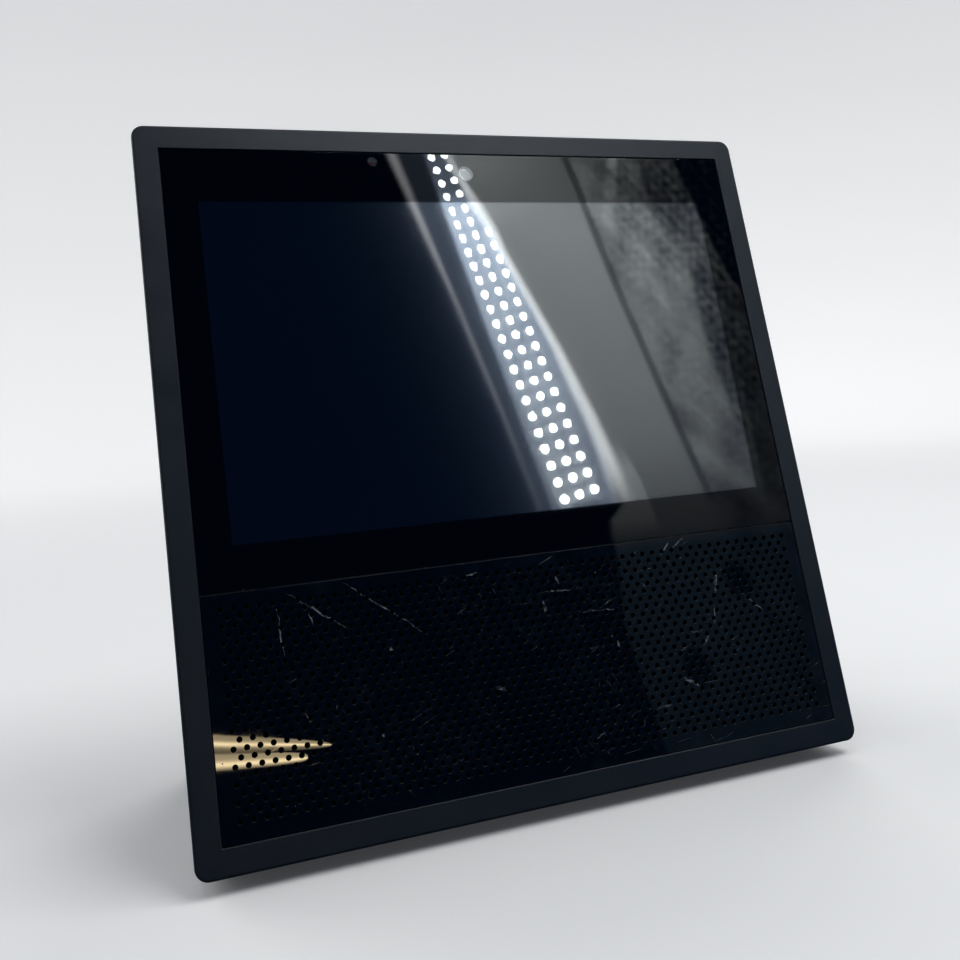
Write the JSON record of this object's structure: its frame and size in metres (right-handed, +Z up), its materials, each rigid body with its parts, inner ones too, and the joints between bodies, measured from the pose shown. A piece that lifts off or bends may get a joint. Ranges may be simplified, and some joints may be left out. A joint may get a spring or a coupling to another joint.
{
  "type": "smart display",
  "caption": "Table-top smart display: touch screen over a perforated speaker grille in a leaning square frame, wedge-shaped body, push buttons on top, power socket at the back.",
  "frame": {"origin": "middle of the rubber foot's footprint box: under the middle of the body, on the table", "axes": "+X to the right as seen from the front, +Y from the screen towards the back, +Z up"},
  "size_m": [0.187, 0.09, 0.1871],
  "materials": {
    "slate_plastic": "satin moulded, dark slate",
    "button_plastic": "satin moulded",
    "cover_glass": "clear, polished, touch sensor laminated behind",
    "black_ink": "screen-printed black",
    "lcd_polariser": "dark neutral, smooth",
    "grille_black": "piano black",
    "acoustic_cloth": "fine black mesh",
    "foam": "closed-cell foam",
    "black_rubber": "matt silicone rubber",
    "black_plastic": "moulded, matt",
    "pressed_steel": "zinc plated sheet",
    "screw_steel": "zinc plated",
    "magnet": "nickel plated yoke, ferrite",
    "spider_cloth": "impregnated weave",
    "cone_paper": "coated paper",
    "copper_coil": "enamelled copper",
    "circuit_board": "solder mask",
    "chip_black": "moulded epoxy",
    "connector": "natural nylon",
    "thermal_silicone": "soft silicone pad",
    "heat_sink": "black anodised",
    "polyimide": "amber film",
    "lens_glass": "coated lens",
    "sensor_filter": "infra-red filter",
    "mic_metal": "gold plated can",
    "antenna": "flexible printed circuit",
    "wire_red": "PVC insulation",
    "wire_black": "PVC insulation"
  },
  "bodies": {
    "root": {"bezel_frame": "slate_plastic", "cover_glass": "cover_glass", "glass_mask": "black_ink", "glass_tape": "foam", "lcd_tape": "foam", "lcd_panel": "lcd_polariser", "lcd_backlight": "pressed_steel", "display_chassis": "pressed_steel", "ribbon_cables": "polyimide", "camera_module": "black_plastic", "camera_lens": "lens_glass", "light_sensor": "sensor_filter", "sensor_board": "circuit_board", "speaker_grille": "grille_black", "grille_cloth": "acoustic_cloth", "speaker_gasket": "foam", "speaker_baffle": "black_plastic", "speaker_tub": "black_plastic", "left_basket": "pressed_steel", "left_motor": "magnet", "left_surround": "black_rubber", "left_spider": "spider_cloth", "right_basket": "pressed_steel", "right_motor": "magnet", "right_surround": "black_rubber", "right_spider": "spider_cloth", "main_board": "circuit_board", "board_chips": "chip_black", "shield_cans": "pressed_steel", "board_connectors": "connector", "thermal_pad": "thermal_silicone", "heat_sink": "heat_sink", "wifi_antennas": "antenna", "top_board": "circuit_board", "microphones": "mic_metal", "microphone_gaskets": "foam", "switch_bodies": "black_plastic", "rear_housing": "slate_plastic", "base_plate": "black_plastic", "rubber_foot": "black_rubber", "power_jack": "black_plastic", "jack_board": "circuit_board", "frame_screws": "screw_steel", "driver_screws": "screw_steel", "board_screws": "screw_steel", "base_screws": "screw_steel", "speaker_wires": "wire_red", "power_lead": "wire_black"},
    "volume_down_button": {"button_volume_down": "button_plastic", "plunger_volume_down": "connector"},
    "mute_button": {"button_mute": "button_plastic", "plunger_mute": "connector"},
    "volume_up_button": {"button_volume_up": "button_plastic", "plunger_volume_up": "connector"},
    "left_cone_assembly": {"left_cone": "cone_paper", "left_dust_cap": "cone_paper", "left_voice_coil": "copper_coil"},
    "right_cone_assembly": {"right_cone": "cone_paper", "right_dust_cap": "cone_paper", "right_voice_coil": "copper_coil"}
  },
  "joints": [
    {"name": "volume_down_press", "type": "slide", "parent": "root", "child": "volume_down_button", "axis": [0, 0.2079, 0.9781], "range_m": [-0.0006, 0], "stiffness_N_per_m": 400, "springref_m": 0.0004},
    {"name": "mute_press", "type": "slide", "parent": "root", "child": "mute_button", "axis": [0, 0.2079, 0.9781], "range_m": [-0.0006, 0], "stiffness_N_per_m": 400, "springref_m": 0.0004},
    {"name": "volume_up_press", "type": "slide", "parent": "root", "child": "volume_up_button", "axis": [0, 0.2079, 0.9781], "range_m": [-0.0006, 0], "stiffness_N_per_m": 400, "springref_m": 0.0004},
    {"name": "left_cone_travel", "type": "slide", "parent": "root", "child": "left_cone_assembly", "axis": [0, 0.9781, -0.2079], "range_m": [-0.0015, 0.0015], "stiffness_N_per_m": 600, "deforming": ["left_surround", "left_spider"]},
    {"name": "right_cone_travel", "type": "slide", "parent": "root", "child": "right_cone_assembly", "axis": [0, 0.9781, -0.2079], "range_m": [-0.0015, 0.0015], "stiffness_N_per_m": 600, "deforming": ["right_surround", "right_spider"]}
  ]
}
